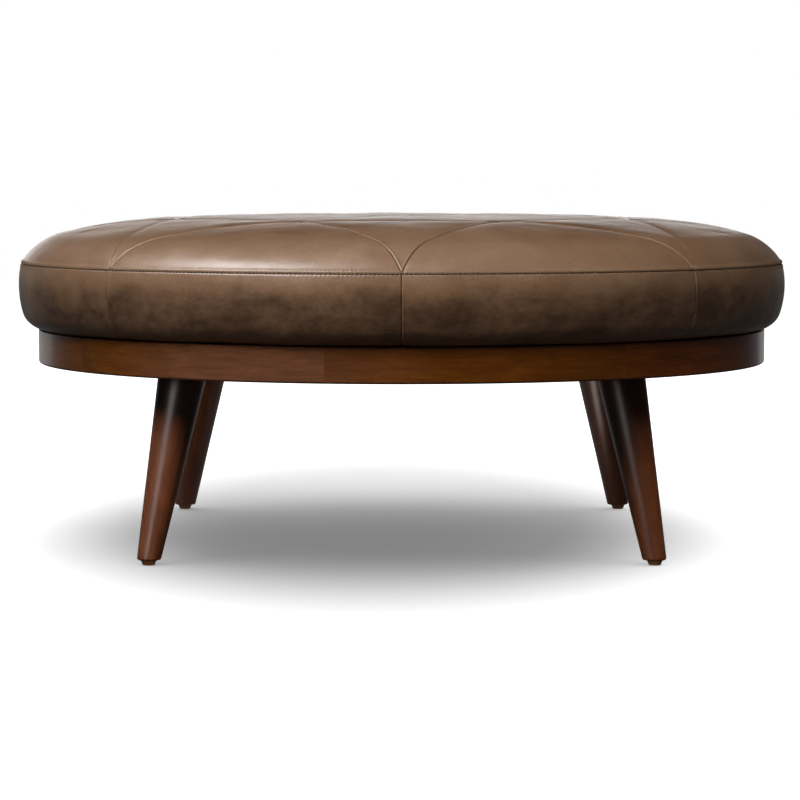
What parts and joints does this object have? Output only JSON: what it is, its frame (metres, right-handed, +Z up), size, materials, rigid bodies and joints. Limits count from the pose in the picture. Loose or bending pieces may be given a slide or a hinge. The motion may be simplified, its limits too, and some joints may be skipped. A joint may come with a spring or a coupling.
{
  "type": "ottoman",
  "caption": "Round upholstered ottoman: a crowned leather cushion in a star of sewn panels, on a wooden ring with splayed tapered legs.",
  "frame": {"origin": "on the floor, under the middle of the ottoman", "axes": "+Z up; -Y is the front, the side that faces the picture's camera; +X to the right seen from the front"},
  "size_m": [0.9652, 0.9652, 0.4078],
  "materials": {
    "leather": "waxed, satin",
    "wadding": "matte",
    "foam": "matte",
    "plywood": "unfinished",
    "dust_cloth": "matte",
    "staple_wire": "bright",
    "stained_wood": "stained and lacquered, satin",
    "rail_wood": "sanded",
    "dowel_wood": "unfinished",
    "glide_plastic": "moulded",
    "zinc_steel": "zinc plated",
    "screw_steel": "yellow zinc plated"
  },
  "bodies": {
    "root": {"centre_panel_1": "leather", "centre_panel_2": "leather", "centre_panel_3": "leather", "centre_panel_4": "leather", "centre_panel_5": "leather", "centre_panel_6": "leather", "centre_panel_7": "leather", "centre_panel_8": "leather", "star_panel_1": "leather", "star_panel_2": "leather", "star_panel_3": "leather", "star_panel_4": "leather", "star_panel_5": "leather", "star_panel_6": "leather", "star_panel_7": "leather", "star_panel_8": "leather", "rim_panel_1": "leather", "rim_panel_2": "leather", "rim_panel_3": "leather", "rim_panel_4": "leather", "rim_panel_5": "leather", "rim_panel_6": "leather", "rim_panel_7": "leather", "rim_panel_8": "leather", "side_panel_1": "leather", "side_panel_2": "leather", "side_panel_3": "leather", "side_panel_4": "leather", "side_panel_5": "leather", "side_panel_6": "leather", "side_panel_7": "leather", "side_panel_8": "leather", "fibre_wrap": "wadding", "foam_core": "foam", "seat_deck": "plywood", "dust_cover": "dust_cloth", "hem_staples": "staple_wire", "lower_cross_rail": "rail_wood", "upper_cross_rail": "rail_wood", "ring_dowels": "dowel_wood", "foot_glides": "glide_plastic", "hanger_bolts": "zinc_steel", "threaded_inserts": "zinc_steel", "wood_screws": "screw_steel", "ring_segment_1": "stained_wood", "ring_segment_2": "stained_wood", "ring_segment_3": "stained_wood", "ring_segment_4": "stained_wood", "ring_segment_5": "stained_wood", "ring_segment_6": "stained_wood", "ring_segment_7": "stained_wood", "ring_segment_8": "stained_wood", "leg_1": "stained_wood", "leg_2": "stained_wood", "leg_3": "stained_wood", "leg_4": "stained_wood", "leg_block_1": "rail_wood", "leg_block_2": "rail_wood", "leg_block_3": "rail_wood", "leg_block_4": "rail_wood"}
  },
  "joints": []
}
